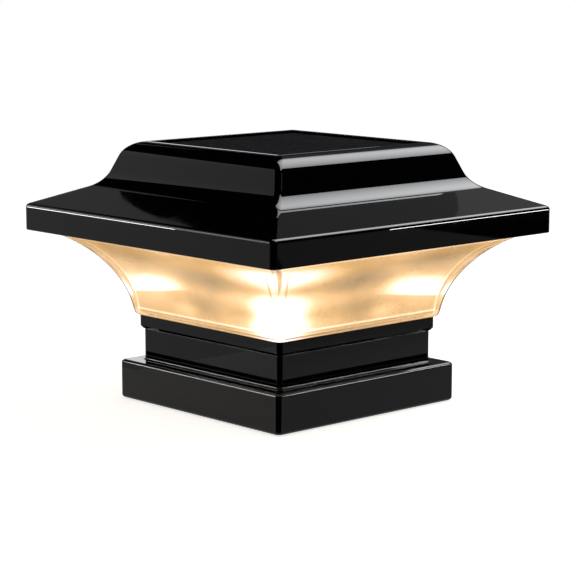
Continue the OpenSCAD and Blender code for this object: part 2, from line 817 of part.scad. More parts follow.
module switch_body() {
    color([0.15, 0.15, 0.16]) translate([0, board_y, floor_z]) {
        difference() {
            translate([-switch_l / 2, -switch_w / 2, 0]) cube([switch_l, switch_w, switch_h]);
            translate([-switch_l / 2 + switch_wall, -switch_w / 2 + switch_wall, switch_wall])
                cube([switch_l, switch_w, switch_h] - 2 * switch_wall * [1, 1, 1]);
            translate([-slot_l / 2, -slot_w / 2, -cut]) cube([slot_l, slot_w, switch_wall + 2 * cut]);
        }
        for (i = [-1 : 1]) translate([i * pin_pitch, 0, 0])
            hole(switch_pin_d, switch_h - eps, board_post_h + board_t + pin_out);
    }
}

module switch_knob() {
    x0 = -switch_travel / 2;
    color(white) translate([x0, board_y, 0]) {
        translate([-knob_l / 2, -knob_w / 2, neck_z - knob_out])
            cube([knob_l, knob_w, knob_out + floor_t + switch_wall + knob_gap + eps]);
        translate([-knob_flange_l / 2, -knob_flange_w / 2, floor_z + switch_wall + knob_gap])
            cube([knob_flange_l, knob_flange_w, knob_flange_t]);
    }
}

// ---- head: fasteners and wires ----

module roof_screws() {
    color(steel) at_corners(roof_screw_x, roof_screw_x)
        screw_up(ceiling_z, screw_d, screw_l, screw_head_d, screw_head_h);
}

module tower_screws() {
    color(steel) at_corners(tower_screw_x, tower_screw_x)
        screw_up(ceiling_z - tower_top_t, screw_d, screw_l, screw_head_d, screw_head_h);
}

module tray_screws() {
    color(steel) at_corners(tray_screw_x, tray_screw_x)
        screw_up(neck_z, screw_d, screw_l, screw_head_d, screw_head_h);
}

module hinge_pin() {
    color(steel) translate([-pin_l / 2, hinge_y, hinge_z]) rotate([0, 90, 0]) cylinder(d = pin_d, h = pin_l);
}

module panel_wires() {
    z0 = board_top_z + panel_plug[2];
    color("firebrick") for (s = [-1, 1]) translate([s * panel_wire_pitch / 2, panel_plug_y, 0])
        hole(wire_d, z0, panel_board_z);
}

// Route that rises from z0, bends over at height z1 and runs s along
function route_over(z0, z1, s) = concat(
    [[0, z0]],
    arc([wire_bend, z1 - wire_bend], wire_bend, 180, 90, 6),
    [[s, z1]]
);

module led_wires() {
    z0 = board_top_z + led_plug[2];
    color("goldenrod") for (i = [-1, 1], j = [-1, 1]) {
        start = [i * (led_wire_pitch / 2 + (j + 1) / 2 * led_wire_pitch), led_plug_y];
        end = tower_facets_w / 2 * sqrt(0.5) * [i, j];
        run = end - start;
        wire(start, atan2(run[1], run[0]), route_over(z0, floor_z + led_z, norm(run) - wire_d / 2));
    }
}

module battery_wires() {
    for (s = [-1, 1]) {
        start = [s * (bay_l / 2 - contact_t - wire_d / 2 - eps), battery_y];
        end = [s * battery_plug_x, battery_plug_y];
        run = end - start;
        reach = norm(run);
        color(s > 0 ? "firebrick" : "black") wire(start, atan2(run[1], run[0]), concat(
            route_over(holder_top_z + fit_gap, wire_top_z, reach - wire_bend),
            arc([reach - wire_bend, wire_top_z - wire_bend], wire_bend, 75, 0, 5),
            [[reach, board_top_z + battery_plug[2]]]
        ));
    }
}

// ---- battery door ----

module battery_door() {
    half_l = seal_in_l + seal_w;
    y0 = battery_y - seal_in_w - seal_w;
    y1 = battery_y + seal_in_w + seal_w;
    color(black) difference() {
        union() {
            translate([-half_l, y0, door_top_z - door_t]) cube([2 * half_l, y1 - y0, door_t]);
            translate([-plug_l / 2, battery_y - plug_w / 2, door_top_z - eps])
                cube([plug_l, plug_w, seal_t + door_gap + plug_h]);
            translate([-tab_w / 2, y1 - eps, door_top_z - door_t]) cube([tab_w, tab_l, door_t]);
            translate([-barrel_l / 2, hinge_y, hinge_z]) rotate([0, 90, 0]) cylinder(d = barrel_d, h = barrel_l);
            translate([-barrel_l / 2, hinge_y, door_top_z - door_t])
                cube([barrel_l, y0 - hinge_y + eps, door_t]);
        }
        translate([-barrel_l / 2 - cut, hinge_y, hinge_z]) rotate([0, 90, 0])
            cylinder(d = pin_d + 2 * pin_gap, h = barrel_l + 2 * cut);
    }
}

module door_seal() {
    color(rubber) translate([0, battery_y, door_top_z]) difference() {
        translate([-seal_in_l - seal_w, -seal_in_w - seal_w, 0])
            cube([2 * (seal_in_l + seal_w), 2 * (seal_in_w + seal_w), seal_t]);
        translate([-seal_in_l, -seal_in_w, -cut]) cube([2 * seal_in_l, 2 * seal_in_w, seal_t + 2 * cut]);
    }
}

base_sleeve();
collar_tray();
lens_gasket();
lens();
rim_gasket();
ceiling_plate();
roof_shell();
panel_pad();
panel_board();
solar_cells();
panel_cover();
light_tower();
led_boards();
leds();
control_board();
board_parts();
board_screws();
battery_holder();
battery_cell();
spring_contact();
plate_contact();
holder_screws();
switch_body();
roof_screws();
tower_screws();
tray_screws();
hinge_pin();
panel_wires();
led_wires();
battery_wires();
battery_door();
door_seal();
switch_knob();
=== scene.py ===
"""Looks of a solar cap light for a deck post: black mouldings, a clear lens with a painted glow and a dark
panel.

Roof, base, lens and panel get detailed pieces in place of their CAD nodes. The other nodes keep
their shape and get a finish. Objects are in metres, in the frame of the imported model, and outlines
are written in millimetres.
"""
import math

import bmesh
import bpy
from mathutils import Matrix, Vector


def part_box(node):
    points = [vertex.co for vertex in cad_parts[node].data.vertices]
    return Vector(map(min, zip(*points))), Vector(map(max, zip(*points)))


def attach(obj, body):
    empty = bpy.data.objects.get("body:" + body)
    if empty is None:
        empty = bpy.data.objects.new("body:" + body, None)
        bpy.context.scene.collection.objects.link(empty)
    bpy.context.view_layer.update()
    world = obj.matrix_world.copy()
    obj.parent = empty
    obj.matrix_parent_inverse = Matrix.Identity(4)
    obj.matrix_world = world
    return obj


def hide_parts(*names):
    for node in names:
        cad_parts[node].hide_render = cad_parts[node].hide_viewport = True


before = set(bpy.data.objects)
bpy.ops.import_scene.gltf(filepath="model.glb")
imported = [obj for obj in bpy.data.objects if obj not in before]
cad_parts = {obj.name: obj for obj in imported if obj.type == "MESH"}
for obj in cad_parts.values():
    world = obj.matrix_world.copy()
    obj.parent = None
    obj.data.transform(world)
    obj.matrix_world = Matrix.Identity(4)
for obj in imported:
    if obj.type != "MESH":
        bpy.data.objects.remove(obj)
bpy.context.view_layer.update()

MM = 0.001


# ---- sizes in millimetres: outer ones from the frame's nodes, the others as in the CAD model ----

def low(node):
    """Lowest corner of a CAD node."""
    return [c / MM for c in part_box(node)[0]]


def high(node):
    """Highest corner of a CAD node."""
    return [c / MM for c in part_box(node)[1]]


BRIM_HALF = high("roof_shell")[0]
BRIM_Z = low("roof_shell")[2]
TOP_Z = high("roof_shell")[2]
ROOF_WALL = 2.5
BRIM_H = 12.2
BRIM_INSET = 6.7
SLOPE_PITCH = 22
STEEP_PITCH = 68.5
COVE_R = 14
SHOULDER_R = 11

PANEL_HALF = high("panel_cover")[0]
PANEL_Z = low("panel_cover")[2]
PANEL_TOP_Z = high("panel_cover")[2]
PANEL_GAP = 0.3
PANEL_FLOOR_T = 2
PAD_Z = low("panel_pad")[2]

SKIRT_HALF = high("base_sleeve")[0]
SKIRT_WALL = 2.5
SKIRT_H = 18.5
STEP_T = 3
NECK_Z = high("base_sleeve")[2]
NECK_HALF = 48
NECK_WALL = 2.5
SHELF_Z = 26.5
SHELF_T = 2.5
SHELF_HALF = 32
POST_SCREWS = (38, 30)
POST_SCREW_R = 2.25
RIB_X = 30
RIB_T = 1.6
RIB_H = 2.2
RIB_Z = 1
COLLAR_STEP = 1.5
COLLAR_CHAMFER = 1.4

LENS_Z = low("lens")[2]
LENS_TOP_Z = high("lens")[2]
LENS_TOP_HALF = high("lens")[0]
LENS_OVERHANG = 2
LENS_FOOT_HALF = NECK_HALF + COLLAR_STEP + LENS_OVERHANG
LENS_FOOT_R = 2
LENS_FOOT_IN = 4.6
LENS_RIM_HALF = BRIM_HALF - BRIM_INSET
LENS_LEAN = 5.3
LENS_WALL = 3
LENS_FLANGE_T = 2
LENS_GAP = 0.05


# ---- outlines, in millimetres ----

def between(ends, k, count):
    """Value at step k of count from one end to the other."""
    return ends[0] + (ends[1] - ends[0]) * k / count


def crossing(p, pitch_p, q, pitch_q):
    """Point where two lines meet; a line is a point and its pitch in degrees above the inward direction."""
    a, b = math.radians(pitch_p), math.radians(pitch_q)
    dp, dq = (-math.cos(a), math.sin(a)), (-math.cos(b), math.sin(b))
    k = dp[0] * dq[1] - dp[1] * dq[0]
    t = ((q[0] - p[0]) * dq[1] - (q[1] - p[1]) * dq[0]) / k
    return p[0] + t * dp[0], p[1] + t * dp[1]


def rounded(corners, closed, step):
    """Outline through corners of (half-width, height, edge radius, plan radius), with each corner rounded.

    The plan radius is that of the upright edges, seen from above. An arc has a point every step degrees.
    Returns points of (half-width, height, plan radius)."""
    points = []
    count = len(corners)
    for i, (half_width, z, radius, plan) in enumerate(corners):
        at_end = not closed and i in (0, count - 1)
        if at_end or radius == 0:
            points.append((half_width, z, plan))
            continue
        here = Vector((half_width, z))
        before = (Vector(corners[i - 1][:2]) - here).normalized()
        after = (Vector(corners[(i + 1) % count][:2]) - here).normalized()
        half = before.angle(after) / 2
        centre = here + (before + after).normalized() * (radius / math.sin(half))
        start = here + before * (radius / math.tan(half)) - centre
        turn = math.pi - 2 * half
        sign = 1 if before.cross(after) < 0 else -1
        steps = max(2, math.ceil(math.degrees(turn) / step))
        for k in range(steps + 1):
            a = sign * turn * k / steps
            p = centre + Vector((start[0] * math.cos(a) - start[1] * math.sin(a),
                                 start[0] * math.sin(a) + start[1] * math.cos(a)))
            points.append((p[0], p[1], plan))
    return points


EDGE_STEPS = 6
EDGE_POINTS = EDGE_STEPS + 1


def square_ring(half, radius):
    """Points of a rounded square, in order round it."""
    radius = min(radius, half)
    ring = []
    for quarter in range(4):
        middle = math.radians(45 + 90 * quarter)
        cx = (half - radius) * math.copysign(1, math.cos(middle))
        cy = (half - radius) * math.copysign(1, math.sin(middle))
        for k in range(EDGE_POINTS):
            a = math.radians(90 * quarter + 90 * k / EDGE_STEPS)
            ring.append((cx + radius * math.cos(a), cy + radius * math.sin(a)))
    return ring


# ---- meshes ----

CREASE_ANGLE = 32
BOX_FACES = ((0, 1, 3, 2), (4, 5, 7, 6), (0, 1, 5, 4), (2, 3, 7, 6), (0, 2, 6, 4), (1, 3, 7, 5))


def add_loft(bm, outline, closed, material_at=lambda i, on_edge: 0):
    """Adds the square loft of an outline to bm. An open outline ends in flat faces.

    A face's material depends on its place in the outline, and on whether it is on a rounded upright edge."""
    rings = [[bm.verts.new((x * MM, y * MM, z * MM)) for x, y in square_ring(half, plan)]
             for half, z, plan in outline]
    size = len(rings[0])
    pairs = len(rings) if closed else len(rings) - 1
    for i in range(pairs):
        a, b = rings[i], rings[(i + 1) % len(rings)]
        for k in range(size):
            face = bm.faces.new((a[k], a[(k + 1) % size], b[(k + 1) % size], b[k]))
            face.material_index = material_at(i, k % EDGE_POINTS != EDGE_POINTS - 1)
    if not closed:
        bm.faces.new(rings[0])
        bm.faces.new(rings[-1])


def add_block(bm, low_corner, high_corner):
    """Adds a box between two corners, in millimetres."""
    xs, ys, zs = zip(low_corner, high_corner)
    corners = [bm.verts.new((x * MM, y * MM, z * MM)) for z in zs for y in ys for x in xs]
    for face in BOX_FACES:
        bm.faces.new([corners[i] for i in face])


def smooth_edges(bm):
    """Smooth faces, with a crease wherever two faces meet at more than the crease angle."""
    for face in bm.faces:
        face.smooth = True
    for edge in bm.edges:
        edge.smooth = len(edge.link_faces) == 2 and edge.calc_face_angle() < math.radians(CREASE_ANGLE)


def new_object(name, bm):
    """Puts an object with the mesh of bm in the scene, and frees bm."""
    mesh = bpy.data.meshes.new(name)
    bm.to_mesh(mesh)
    bm.free()
    obj = bpy.data.objects.new(name, mesh)
    bpy.context.scene.collection.objects.link(obj)
    return obj


def even_normals(obj):
    """Keeps large flat faces flat next to small rounded edges."""
    modifier = obj.modifiers.new("normals", "WEIGHTED_NORMAL")
    modifier.keep_sharp = True
    modifier.weight = 100


def piece(name, bm, body, materials, node):
    """Makes an object of bm with its materials.

    It rides on a body and stands for a CAD node, which it hides."""
    bmesh.ops.remove_doubles(bm, verts=bm.verts, dist=1e-7)
    bmesh.ops.recalc_face_normals(bm, faces=bm.faces)
    smooth_edges(bm)
    obj = new_object(name, bm)
    for material in materials:
        obj.data.materials.append(material)
    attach(obj, body)
    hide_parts(node)
    even_normals(obj)
    return obj


def apply_boolean(obj, bm, operation):
    """Joins the solids in bm to a piece, or cuts them out of it."""
    bmesh.ops.recalc_face_normals(bm, faces=bm.faces)
    tool = new_object("tool", bm)
    tool_mesh = tool.data
    modifier = obj.modifiers.new("shape", "BOOLEAN")
    modifier.operation = operation
    modifier.solver = "EXACT"
    modifier.object = tool
    obj.modifiers.move(len(obj.modifiers) - 1, 0)
    with bpy.context.temp_override(object=obj, active_object=obj, selected_objects=[obj]):
        bpy.ops.object.modifier_apply(modifier="shape")
    bpy.data.objects.remove(tool)
    bpy.data.meshes.remove(tool_mesh)
    result = bmesh.new()
    result.from_mesh(obj.data)
    smooth_edges(result)
    result.to_mesh(obj.data)
    result.free()


def cut_holes(obj, places, radius, z0, z1):
    """Cuts upright round holes at places of (x, y) through a piece."""
    bm = bmesh.new()
    for x, y in places:
        made = bmesh.ops.create_cone(bm, cap_ends=True, segments=32, depth=(z1 - z0) * MM,
                                     radius1=radius * MM, radius2=radius * MM)
        bmesh.ops.translate(bm, verts=made["verts"], vec=(x * MM, y * MM, (z0 + z1) / 2 * MM))
    apply_boolean(obj, bm, "DIFFERENCE")


# ---- materials ----

class Value:
    """A number that varies over a surface. Arithmetic on it adds math nodes to its material."""

    def __init__(self, nodes, socket):
        self.nodes = nodes
        self.socket = socket

    def _math(self, operation, *others):
        node = self.nodes.new("ShaderNodeMath")
        node.operation = operation
        for i, value in enumerate((self, *others)):
            if isinstance(value, Value):
                node.id_data.links.new(value.socket, node.inputs[i])
            else:
                node.inputs[i].default_value = value
        return Value(self.nodes, node.outputs[0])

    def __add__(self, other):
        return self._math("ADD", other)

    def __radd__(self, other):
        return self + other

    def __sub__(self, other):
        return self._math("SUBTRACT", other)

    def __rsub__(self, other):
        return self * -1 + other

    def __mul__(self, other):
        return self._math("MULTIPLY", other)

    def __abs__(self):
        return self._math("ABSOLUTE")

    def sign(self):
        return self._math("SIGN")

    def root(self):
        return self._math("SQRT")

    def least(self, other):
        return self._math("MINIMUM", other)

    def most(self, other):
        return self._math("MAXIMUM", other)

    def ramp(self, start, end, low_value=0.0, high_value=1.0):
        """Smooth step from low_value at start to high_value at end."""
        node = self.nodes.new("ShaderNodeMapRange")
        node.interpolation_type = "SMOOTHSTEP"
        limits = {"From Min": start, "From Max": end, "To Min": low_value, "To Max": high_value}
        for name, value in limits.items():
            node.inputs[name].default_value = value
        node.id_data.links.new(self.socket, node.inputs["Value"])
        return Value(self.nodes, node.outputs["Result"])

    def spread(self, lowest, highest):
        """Noise, which stays mostly between 0.3 and 0.7, brought to a range."""
        return self.ramp(0.3, 0.7, lowest, highest)

    def line(self, middle, half):
        """1 in the middle of a line, 0 beyond its half-width."""
        return abs(self - middle).ramp(half * 0.4, half, 1.0, 0.0)


class Surface:
    """A material with its main shader and the helpers that build its nodes."""

    def __init__(self, name, colour, roughness, **sockets):
        self.material = bpy.data.materials.new(name)
        self.material.use_nodes = True
        self.nodes = self.material.node_tree.nodes
        self.links = self.material.node_tree.links
        self.shader = self.nodes["Principled BSDF"]
        self.shader.inputs["Base Color"].default_value = (*colour, 1)
        self.shader.inputs["Roughness"].default_value = roughness
        for key, value in sockets.items():
            self.shader.inputs[key.replace("_", " ")].default_value = value
        self.coordinates = self.nodes.new("ShaderNodeTexCoord").outputs["Object"]

    def axes(self):
        """The place on the object, in millimetres."""
        split = self.nodes.new("ShaderNodeSeparateXYZ")
        self.links.new(self.coordinates, split.inputs[0])
        return [Value(self.nodes, out) * (1 / MM) for out in split.outputs]

    def noise(self, size, detail, stretch=(1, 1, 1)):
        """Noise with features of about the given size in millimetres."""
        mapping = self.nodes.new("ShaderNodeMapping")
        mapping.inputs["Scale"].default_value = stretch
        self.links.new(self.coordinates, mapping.inputs["Vector"])
        texture = self.nodes.new("ShaderNodeTexNoise")
        texture.inputs["Scale"].default_value = 1 / (size * MM)
        texture.inputs["Detail"].default_value = detail
        self.links.new(mapping.outputs[0], texture.inputs["Vector"])
        return Value(self.nodes, texture.outputs["Fac"])

    def drive(self, socket, value):
        """Lets a Value set one of the shader's sockets."""
        self.links.new(value.socket, self.shader.inputs[socket])

    def vary_roughness(self, noise, lowest, highest):
        self.drive("Roughness", noise.spread(lowest, highest))

    def vary_colour(self, value, first, second, socket="Base Color"):
        """Goes from the first colour to the second as the value goes from 0 to 1."""
        mix = self.nodes.new("ShaderNodeMix")
        mix.data_type = "RGBA"
        mix.inputs["A"].default_value = (*first, 1)
        mix.inputs["B"].default_value = (*second, 1)
        self.links.new(value.socket, mix.inputs["Factor"])
        self.links.new(mix.outputs["Result"], self.shader.inputs[socket])

    def bump(self, value, depth):
        """Raises the surface by depth millimetres where value is 1."""
        node = self.nodes.new("ShaderNodeBump")
        node.inputs["Distance"].default_value = depth * MM
        self.links.new(value.socket, node.inputs["Height"])
        self.links.new(node.outputs[0], self.shader.inputs["Normal"])


def gloss_black():
    """Polished black moulding with a faint waviness."""
    surface = Surface("gloss_black", (0.001, 0.001, 0.001), 0.04, Specular_IOR_Level=0.16)
    surface.vary_roughness(surface.noise(9, 3), 0.015, 0.035)
    surface.bump(surface.noise(14, 1), 0.0015)
    return surface.material


def inner_black():
    """Satin black of mouldings that don't show from outside."""
    surface = Surface("inner_black", (0.012, 0.012, 0.013), 0.4, Specular_IOR_Level=0.3)
    surface.vary_roughness(surface.noise(1.5, 3), 0.32, 0.48)
    surface.bump(surface.noise(0.5, 2), 0.01)
    return surface.material


def plain(name, colour, roughness, grain=0.8, depth=0.01, **sockets):
    """A moulded or cast finish with fine grain and a little unevenness in its colour."""
    surface = Surface(name, colour, roughness, **sockets)
    surface.vary_roughness(surface.noise(grain * 4, 3), roughness * 0.85, min(1.0, roughness * 1.15))
    darker = [c * 0.9 for c in colour]
    lighter = [min(1, c * 1.08) for c in colour]
    surface.vary_colour(surface.noise(grain * 9, 3), darker, lighter)
    surface.bump(surface.noise(grain, 2), depth)
    return surface.material


def panel_finish():
    """Dark woven texture of the solar panel's cover."""
    surface = Surface("panel_cover", (0.02, 0.02, 0.023), 0.55, Specular_IOR_Level=0.0)
    weave = surface.noise(1.2, 3, (1, 0.25, 1))
    surface.vary_colour(weave.spread(0.0, 1.0), (0.014, 0.014, 0.017), (0.030, 0.030, 0.035))
    surface.vary_roughness(weave, 0.5, 0.7)
    surface.bump(weave, 0.05)
    return surface.material


GLASS_TINT = (1, 0.985, 0.955)
# painted shade: the brown tint of the lens's edges where they turn away
PAINTED_EDGE_SHADE = (0.012, 0.0075, 0.003)
GLASS_ROUGHNESS = 0.25


def clear_glass(name):
    """Surface of clear moulded plastic with a slight haze."""
    surface = Surface(name, GLASS_TINT, GLASS_ROUGHNESS, Transmission_Weight=1.0, IOR=1.49)
    surface.vary_roughness(surface.noise(12, 2), GLASS_ROUGHNESS * 0.9, GLASS_ROUGHNESS * 1.1)
    surface.bump(surface.noise(16, 1), 0.003)
    return surface


def glass_edge():
    """The lens's rounded upright edges: clear from the front, with a painted brown shade where they turn
    away.

    At the two bright corners only the last of the turn keeps the painted shade."""
    surface = clear_glass("lens_edge")
    weight = surface.nodes.new("ShaderNodeLayerWeight")
    weight.inputs["Blend"].default_value = 0.5
    turned_away = Value(surface.nodes, weight.outputs["Facing"])
    x, y = surface.axes()[:2]
    bright = (x * y).sign().ramp(-1, 1)
    # painted shade: brown where the edge turns away, less of it at the bright corners
    brown = (turned_away - bright * 0.36).ramp(0.28, 0.46)
    surface.vary_colour(brown, GLASS_TINT, PAINTED_EDGE_SHADE)
    return surface.material


# ---- painted glow of the lens: the lamps' light and shade painted on its frosted face ----

# An oval of light is its middle, as a place along the face and a height, its half-width and
# half-height in millimetres, and its strength. Places count from the middle of a face towards its
# bright corner. Heights count from the foot of the base. All were chosen to look like the photo.
FLAMES = ((-39, 55, 25, 11.5, 2.3), (-22, 58.6, 22, 9.7, 1.7))
BRIGHT_CORNER = ((66, 48, 40, 22, 6), (66, 44.5, 60, 9, 1.7), (66, 57.5, 60, 8, 1.5), (72, 72, 58, 9, 3))
LOW_SPOT = (-13, 47.7, 14, 5.4, 0.4)
# painted shade: dark ovals taken off the painted light of the lens
PAINTED_SHADES = ((12, 65.7, 27, 9, 0.5), (2, 50.8, 17, 9, 0.35), (-36, 72.5, 34, 8, 0.35))
EVEN_LIGHT = 1.12
# painted shade: the faces across the y axis get a little less of the painted light
Y_FACE_LOSS = 0.04
LEAST_LIGHT = 0.3
MOST_LIGHT = 5
AMBER = (0.75, 0.44, 0.165)
WARM_WHITE = (0.62, 0.5, 0.45)

# the flames end low down between two heights, at a line that leans along the face
FLAME_FLOOR = (58.2, 59.6)
FLAME_FLOOR_LEAN = 0.13
FLAME_FLOOR_DROP_ON_Y = 1.4
FLAME_UNDER_FLOOR = 0.2
FLAME_BEYOND_FROSTING = 0.15

# the frosting ends at a line that leans away from the upright edge towards the brim
FROSTING_START = 9
FROSTING_LEAN = 0.23

# painted lines along the lens's foot, one of shade and one bright glint, and a painted glint under the brim
FOOT_SHADE_LINE_Z = 43
FOOT_GLINT_Z = 43.9
BRIM_GLINT = (78.5, 79.2)


def lens_circle():
    """Centre and radius of the lens's outer arc, in millimetres."""
    lean = math.radians(LENS_LEAN)
    chord = Vector((LENS_RIM_HALF - LENS_FOOT_HALF, BRIM_Z - LENS_Z))
    turn = math.atan2(chord[0], chord[1]) - lean
    radius = chord.length / (2 * math.sin(turn))
    centre = (LENS_FOOT_HALF + radius * math.cos(lean), LENS_Z - radius * math.sin(lean))
    return centre, radius


class LensFace:
    """Places on the lens's inner face, as Values: distances in millimetres, and shares from 0 to 1."""

    def __init__(self, surface):
        x, y, self.z = surface.axes()
        # 1 on the two faces across the y axis, 0 on the other two
        self.on_y_face = (abs(y) - abs(x)).ramp(-0.2, 0.2)
        # which half of a face: the one at its bright corner or the one at its dim corner
        side = (x * y).sign()
        self.bright_half = side.ramp(-1, 1)
        self.dim_half = side.ramp(-1, 1, 1.0, 0.0)
        # distance from the middle of a face, positive towards its bright corner
        self.along = abs(x).least(abs(y)) * side
        # distance from the upright edge where two faces meet
        centre, radius = lens_circle()
        rise = self.z - centre[1]
        half_width = centre[0] - ((radius + LENS_WALL) ** 2 - rise * rise).root()
        self.edge = half_width - abs(self.along)
        # distance inwards from the line beside the upright edge where the frosting ends
        self.frosting = self.edge - self.z * FROSTING_LEAN + FROSTING_START

    def oval(self, middle, height, half_width, half_height, strength):
        """Light that is strongest in the middle of an oval and ends at its rim."""
        across = (self.along - middle) * (1 / half_width)
        up = (self.z - height) * (1 / half_height)
        return (across * across + up * up).root().ramp(0, 1, strength, 0.0)

    def ovals(self, shapes):
        """Sum of the light of several ovals."""
        return sum(self.oval(*shape) for shape in shapes)


def painted_lamp_light(face):
    """Painted light of the lamps: flames beside each dim corner and a glow at each bright one, less the
    painted shades.
    """
    height = face.z - face.along * FLAME_FLOOR_LEAN + face.on_y_face * FLAME_FLOOR_DROP_ON_Y
    over_floor = height.ramp(*FLAME_FLOOR, FLAME_UNDER_FLOOR, 1.0)
    on_frosting = face.frosting.ramp(-1.2, -0.2, FLAME_BEYOND_FROSTING, 1.0)
    flames = face.ovals(FLAMES) * on_frosting * over_floor
    lamps = flames + face.ovals(BRIGHT_CORNER) + face.oval(*LOW_SPOT) - face.ovals(PAINTED_SHADES)
    return lamps + EVEN_LIGHT - face.on_y_face * Y_FACE_LOSS


def painted_bright_lines(face):
    """Painted highlights: lines of light beside the dim upright edges, under the brim and at the foot."""
    beside_edge = face.frosting.line(0, 0.9) * 0.6 + face.edge.line(1.1, 0.6) * 0.35
    under_brim = face.z.ramp(*BRIM_GLINT) * 0.8
    return beside_edge * face.dim_half + under_brim + face.z.line(FOOT_GLINT_Z, 0.6) * 0.9


def painted_dark_lines(face):
    """Share of the painted light that the lines of painted shade leave."""
    # painted shade along two folds beside a bright corner: one that gets wider towards the brim, and one that
    # leans
    edge_fold = (face.edge - face.z.ramp(60, 78, 0.0, 2.2)).ramp(-0.3, 0.3, 1.0, 0.0) * face.on_y_face
    fold_heights = face.z.ramp(59, 64) * face.z.ramp(73, 76, 1.0, 0.0)
    leaning_fold = (face.edge - face.z * 0.218).line(-10.7, 0.9) * fold_heights * 0.7
    folds = 1 - (edge_fold + leaning_fold).least(1) * face.bright_half * 0.6
    # painted shade along the lens's foot
    foot = 1 - face.z.line(FOOT_SHADE_LINE_Z, 0.45) * 0.25
    # painted shade at the upright edges of the dim halves
    dim_edge = 1 - face.edge.ramp(0.3, 0.6, 0.25, 0.0) * face.dim_half
    return folds * foot * dim_edge


def glow():
    """Frosted inner face of the lens, with the light of the four corner lamps painted on it as a glow.

    The two corners on the diagonal through (1, 1) glow over their whole height, the other two like flames."""
    surface = Surface("lens_painted_glow", (0.03, 0.022, 0.014), 0.5)
    face = LensFace(surface)
    clouds = surface.noise(14, 2, (1, 1, 2)).spread(-0.06, 0.06) + surface.noise(0.9, 1).spread(-0.05, 0.05)
    light = (painted_lamp_light(face) + clouds + painted_bright_lines(face)) * painted_dark_lines(face)
    light = light.most(LEAST_LIGHT).least(MOST_LIGHT)
    # the painted light turns from amber to warm white where it is brighter
    surface.vary_colour(light.ramp(1.0, 3.2), AMBER, WARM_WHITE, "Emission Color")
    streaks = surface.noise(1.3, 2, (1, 1, 0.1))
    surface.drive("Emission Strength", light * streaks.spread(0.97, 1.03))
    surface.bump(streaks, 0.02)
    return surface.material


GLOSS = gloss_black()
INNER_BLACK = inner_black()
RUBBER = plain("rubber", (0.02, 0.02, 0.02), 0.75, 0.6, 0.02)
WHITE = plain("white_plastic", (0.8, 0.79, 0.76), 0.35)
BOARD = plain("circuit_board", (0.02, 0.12, 0.05), 0.35, 0.5)
LAMP_BOARD = plain("lamp_board", (0.75, 0.75, 0.72), 0.3, 0.5)
LAMP = plain("lamp", (0.9, 0.8, 0.45), 0.15, 0.8, 0.002)
ELECTRONIC = plain("electronic_part", (0.03, 0.03, 0.032), 0.4, 0.4)
STEEL = plain("steel", (0.55, 0.55, 0.56), 0.25, 0.3, 0.004, Metallic=1.0)
BATTERY = plain("battery", (0.05, 0.25, 0.09), 0.25, 1.0, 0.004)
SOLAR = plain("solar_cell", (0.01, 0.013, 0.03), 0.2, 0.6, 0.004)
WIRE_RED = plain("wire_red", (0.5, 0.03, 0.02), 0.4, 0.5, 0.005)
WIRE_YELLOW = plain("wire_yellow", (0.6, 0.4, 0.05), 0.4, 0.5, 0.005)
GLASS = clear_glass("clear_lens").material
GLASS_EDGE = glass_edge()
GLOW = glow()
PANEL = panel_finish()


# ---- roof ----

def make_roof():
    plan, inside, recess_plan = 2.5, 0.8, 1.2
    # flat faces close the recess's floor within this half-width
    floor_middle = 12
    # the rim round the recess falls a little inwards, to its own rounded edge
    rim_fall, rim_edge = 0.03, 0.3
    opening = PANEL_HALF + PANEL_GAP
    steep = math.radians(STEEP_PITCH)
    slope = math.radians(SLOPE_PITCH)
    # the shoulder's arc ends over the opening's edge, and the steep side is tangent to it
    steep_top = opening + SHOULDER_R * math.tan(steep / 2)

    def skin(t):
        """Corners of the roof's skin set in by t: slope start, cove, shoulder."""
        start = (BRIM_HALF - t, BRIM_Z + BRIM_H - t * math.tan(math.pi / 4 - slope / 2))
        top = (steep_top - t * math.tan(steep / 2), TOP_Z - t)
        return start, crossing(top, STEEP_PITCH, start, SLOPE_PITCH), top

    start, cove, shoulder = skin(0)
    # the inner skin runs from its cove to the underside of the recess, and has no shoulder
    in_start, in_cove, _ = skin(ROOF_WALL)
    under_z = PAD_Z - PANEL_FLOOR_T
    corners = [
        (floor_middle, PAD_Z, 0, inside),
        (opening, PAD_Z, 0.2, inside),
        (opening, TOP_Z - rim_fall, rim_edge, recess_plan),
        (*shoulder, SHOULDER_R - 0.4, plan),
        (*cove, COVE_R, plan),
        (*start, 2.0, plan),
        (BRIM_HALF, BRIM_Z, 0.5, plan),
        (BRIM_HALF - ROOF_WALL, BRIM_Z, 0.4, inside),
        (*in_start, 0.5, inside),
        (*in_cove, COVE_R + ROOF_WALL, inside),
        (opening + ROOF_WALL, under_z + 1.5, 0.3, inside),
        (opening, under_z, 0.3, inside),
        (floor_middle, under_z, 0, inside),
    ]
    bm = bmesh.new()
    add_loft(bm, rounded(corners, False, 6), False)
    piece("roof", bm, "head", [GLOSS], "roof_shell")


make_roof()


# ---- base ----

SOCKET_HALF = SKIRT_HALF - SKIRT_WALL
# how far a rib or a hole's cutter goes into or past the solid it meets
OVERLAP = 1


def base_profile():
    """Outline of the skirt, the step, the neck and the shelf inside it."""
    plan, inside = 2.0, 0.6
    neck_in = NECK_HALF - NECK_WALL
    return [
        (SKIRT_HALF, 0, 1.6, plan),
        (SKIRT_HALF, SKIRT_H, 1.5, plan),
        (NECK_HALF, SKIRT_H, 0.8, plan),
        (NECK_HALF, NECK_Z, 0.15, plan),
        (neck_in, NECK_Z, 0.4, inside),
        (neck_in, SHELF_Z, 0.5, inside),
        (SHELF_HALF, SHELF_Z, 0.4, inside),
        (SHELF_HALF, SHELF_Z - SHELF_T, 0.4, inside),
        (neck_in, SHELF_Z - SHELF_T, 0.5, inside),
        (neck_in, SKIRT_H - STEP_T, 0.5, inside),
        (SOCKET_HALF, SKIRT_H - STEP_T, 0.5, inside),
        (SOCKET_HALF, 0, 0.5, inside),
    ]


